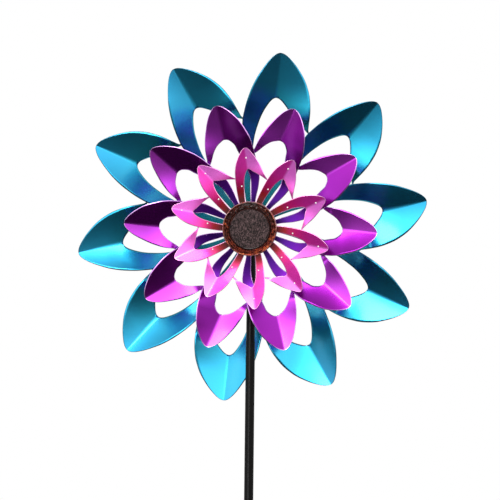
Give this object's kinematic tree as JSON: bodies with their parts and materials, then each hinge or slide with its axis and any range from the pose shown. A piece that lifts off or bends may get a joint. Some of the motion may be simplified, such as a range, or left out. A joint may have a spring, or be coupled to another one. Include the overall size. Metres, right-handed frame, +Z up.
{
  "type": "wind spinner",
  "caption": "Garden wind spinner on a pole with a ground fork; rings of cupped metal petals turn one in front of another round a solar lamp hub.",
  "frame": {"origin": "on the pole's axis at ground level, on the flat underside of the fork's step bar", "axes": "+Z up along the pole; the spinner faces -Y; +X to the viewer's right"},
  "size_m": [0.6022, 0.1612, 1.9015],
  "materials": {
    "black_paint": "satin black powder coat",
    "black_plastic": "fine-grained black moulding",
    "zinc_steel": "zinc-plated steel",
    "teal_lacquer": "translucent teal lacquer over bright metal",
    "purple_lacquer": "translucent purple lacquer over bright metal",
    "pink_lacquer": "translucent pink lacquer, darker towards the hub",
    "bronze_bezel": "hammered dark bronze",
    "solar_cell": "dark solar cell under clear resin",
    "circuit_board": "green board",
    "battery_wrap": "printed wrap with no marks",
    "lamp_wire": "clear coated wire with white lamps"
  },
  "bodies": {
    "stand": {"step_bar": "black_paint", "prong_left": "black_paint", "prong_right": "black_paint", "fork_stub": "black_paint", "pole_lower": "black_paint", "pole_middle": "black_paint", "pole_upper": "black_paint"},
    "head": {"head_stem": "black_paint", "stem_cap": "black_plastic", "axle_bolt": "zinc_steel", "rear_nut": "zinc_steel", "sleeve_back": "zinc_steel", "sleeve_middle": "zinc_steel", "sleeve_front": "zinc_steel", "sleeve_nose": "zinc_steel"},
    "back_rotor": {"back_hub": "black_paint", "back_bearing": "zinc_steel", "back_petal_01": "teal_lacquer", "back_petal_02": "teal_lacquer", "back_petal_03": "teal_lacquer", "back_petal_04": "teal_lacquer", "back_petal_05": "teal_lacquer", "back_petal_06": "teal_lacquer", "back_petal_07": "teal_lacquer", "back_petal_08": "teal_lacquer", "back_petal_09": "teal_lacquer", "back_petal_10": "teal_lacquer"},
    "middle_rotor": {"middle_hub": "black_paint", "middle_bearing": "zinc_steel", "middle_petal_01": "purple_lacquer", "middle_petal_02": "purple_lacquer", "middle_petal_03": "purple_lacquer", "middle_petal_04": "purple_lacquer", "middle_petal_05": "purple_lacquer", "middle_petal_06": "purple_lacquer", "middle_petal_07": "purple_lacquer", "middle_petal_08": "purple_lacquer", "middle_petal_09": "purple_lacquer", "middle_petal_10": "purple_lacquer"},
    "front_rotor": {"front_hub": "black_paint", "front_bearing": "zinc_steel", "front_petal_01": "pink_lacquer", "front_petal_02": "pink_lacquer", "front_petal_03": "pink_lacquer", "front_petal_04": "pink_lacquer", "front_petal_05": "pink_lacquer", "front_petal_06": "pink_lacquer", "front_petal_07": "pink_lacquer", "front_petal_08": "pink_lacquer", "front_petal_09": "pink_lacquer", "front_petal_10": "pink_lacquer", "solar_housing": "black_plastic", "bezel_ring": "bronze_bezel", "solar_panel": "solar_cell", "circuit_board": "circuit_board", "battery_cell_upper": "battery_wrap", "battery_cell_lower": "battery_wrap", "led_harness": "lamp_wire"},
    "switch_slide": {"power_switch": "black_plastic"}
  },
  "joints": [
    {"name": "head_swivel", "type": "hinge", "parent": "stand", "child": "head", "pos_m": [0, 0, 1.204], "axis": [0, 0, 1], "continuous": true},
    {"name": "back_rotor_spin", "type": "hinge", "parent": "head", "child": "back_rotor", "pos_m": [0, 0.045, 1.4], "axis": [0, -1, 0], "continuous": true},
    {"name": "middle_rotor_spin", "type": "hinge", "parent": "head", "child": "middle_rotor", "pos_m": [0, -0.03, 1.4], "axis": [0, -1, 0], "continuous": true},
    {"name": "front_rotor_spin", "type": "hinge", "parent": "head", "child": "front_rotor", "pos_m": [0, -0.062, 1.4], "axis": [0, -1, 0], "continuous": true},
    {"name": "power_switch_slide", "type": "slide", "parent": "front_rotor", "child": "switch_slide", "axis": [1, 0, 0], "range_m": [0, 0.004]}
  ]
}
